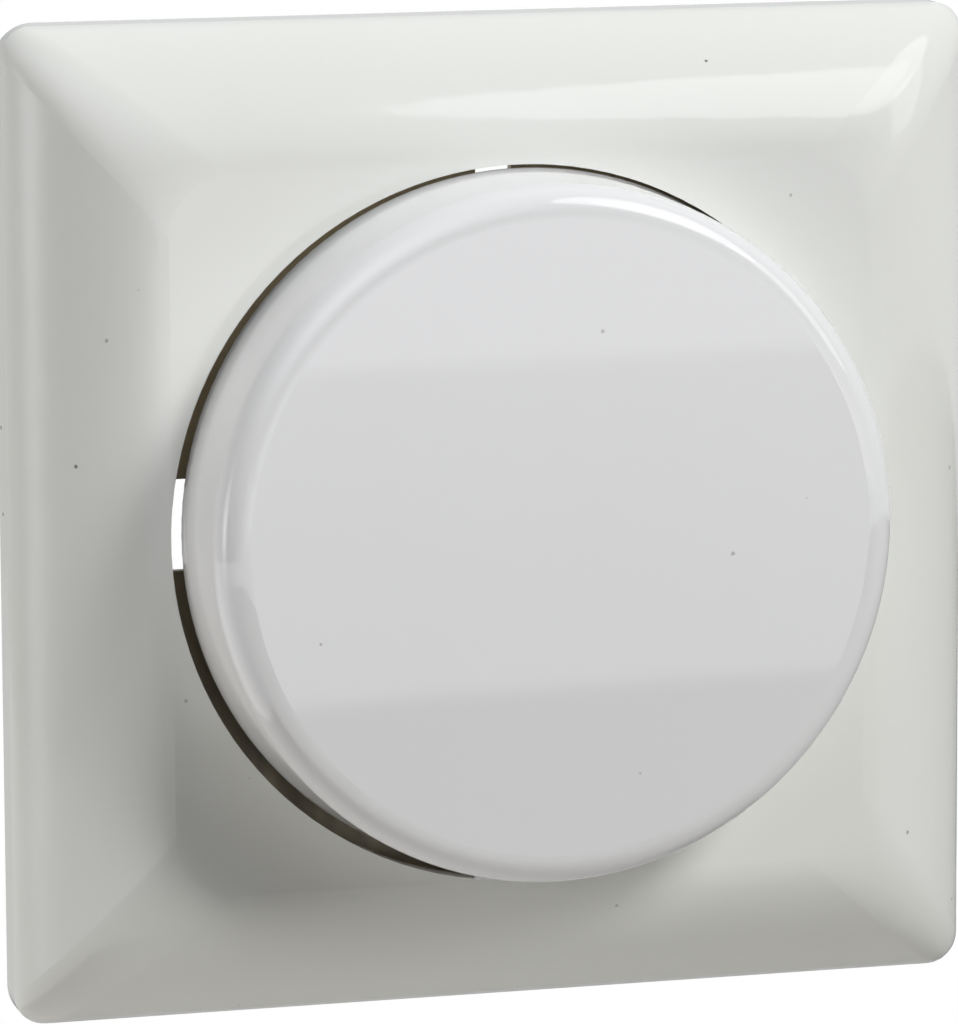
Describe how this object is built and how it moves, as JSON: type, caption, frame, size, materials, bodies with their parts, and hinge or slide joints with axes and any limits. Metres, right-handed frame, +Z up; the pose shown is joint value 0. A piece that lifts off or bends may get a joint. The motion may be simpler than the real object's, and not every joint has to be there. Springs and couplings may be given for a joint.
{
  "type": "pushbutton switch",
  "caption": "Square flush wall switch with a white bevelled frame and a large plain round pushbutton on a sprung plunger that works a bridging contact in a box behind the mounting plate.",
  "frame": {"origin": "on the wall face, on the axis of the button", "axes": "+X to the right and +Z up, as seen from the room; +Y into the wall, so the button faces -Y"},
  "size_m": [0.084, 0.0432, 0.084],
  "materials": {
    "white_moulding": "glossy warm white",
    "plated_sheet": "dull yellowish plating",
    "dark_moulding": "matt, as moulded",
    "pale_moulding": "matt, as moulded",
    "spring_steel": "drawn wire",
    "screw_steel": "plated",
    "brass_strip": "rolled",
    "brass_block": "drawn bar",
    "contact_silver": "headed, bright"
  },
  "bodies": {
    "base": {"cover_frame": "white_moulding", "mounting_plate": "plated_sheet", "mechanism_cover": "dark_moulding", "mechanism_housing": "dark_moulding", "housing_screws": "screw_steel", "return_spring": "spring_steel", "left_fixed_contact": "brass_strip", "right_fixed_contact": "brass_strip", "left_fixed_tip": "contact_silver", "right_fixed_tip": "contact_silver", "left_terminal_block": "brass_block", "right_terminal_block": "brass_block", "left_terminal_screws": "screw_steel", "right_terminal_screws": "screw_steel"},
    "button": {"push_button": "white_moulding", "plunger": "pale_moulding", "contact_spring": "spring_steel"},
    "bridge": {"contact_bridge": "brass_strip", "left_bridge_tip": "contact_silver", "right_bridge_tip": "contact_silver"}
  },
  "joints": [
    {"name": "button_press", "type": "slide", "parent": "base", "child": "button", "axis": [0, 1, 0], "range_m": [0, 0.0025], "stiffness_N_per_m": 600, "springref_m": -0.005, "deforming": ["return_spring"]},
    {"name": "bridge_lift", "type": "slide", "parent": "button", "child": "bridge", "axis": [0, -1, 0], "range_m": [0, 0.00075], "deforming": ["contact_spring"]}
  ],
  "couplings": [
    {"joint": "bridge_lift", "follows": "button_press", "ratio": 0.3}
  ]
}
